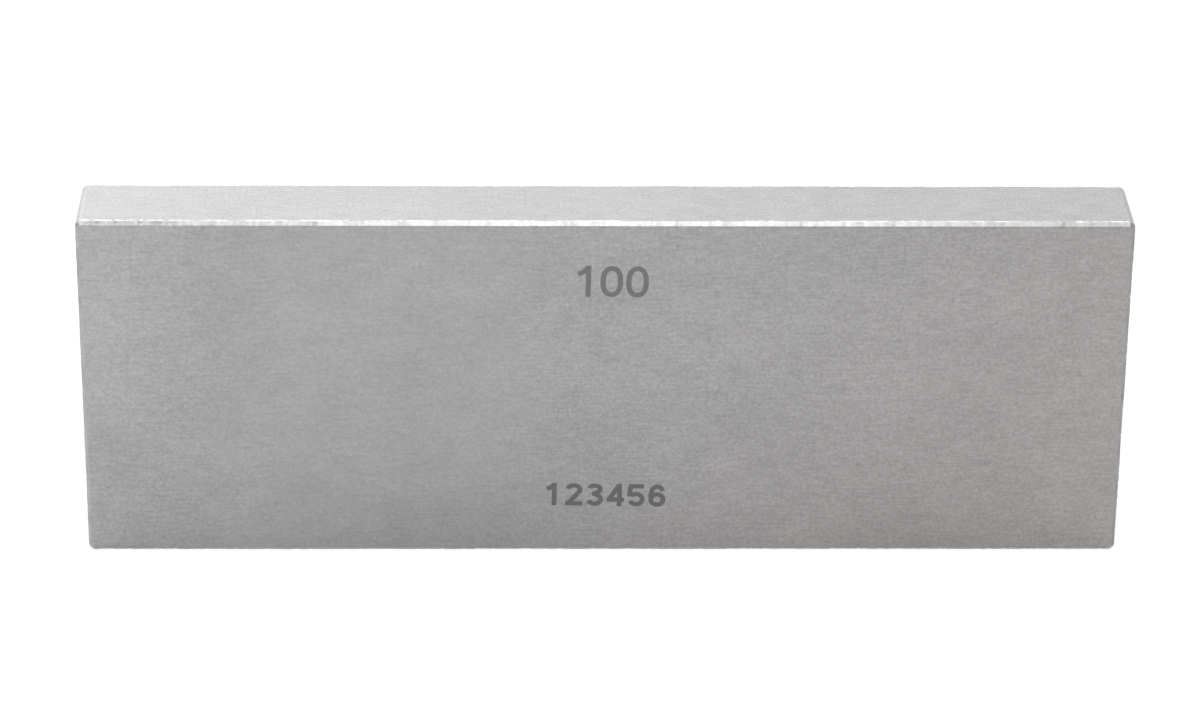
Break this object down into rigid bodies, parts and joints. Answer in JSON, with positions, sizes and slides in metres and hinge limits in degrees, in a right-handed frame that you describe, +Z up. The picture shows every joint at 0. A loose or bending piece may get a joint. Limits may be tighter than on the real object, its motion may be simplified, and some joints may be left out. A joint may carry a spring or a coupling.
{
  "type": "rectangular gauge block",
  "caption": "Rectangular hardened steel length standard with two lapped end faces a known distance apart, fine-ground sides and broken edges.",
  "frame": {"origin": "centre of the narrow side that the block stands on, halfway along the measured length", "axes": "+X along the measured length, +Z up across the section's width, -Y out of the broad side that carries the size mark"},
  "size_m": [0.1, 0.009, 0.035],
  "materials": {
    "steel": "fine ground, with lapped end faces"
  },
  "bodies": {
    "root": {"gauge_block": "steel"}
  },
  "joints": []
}
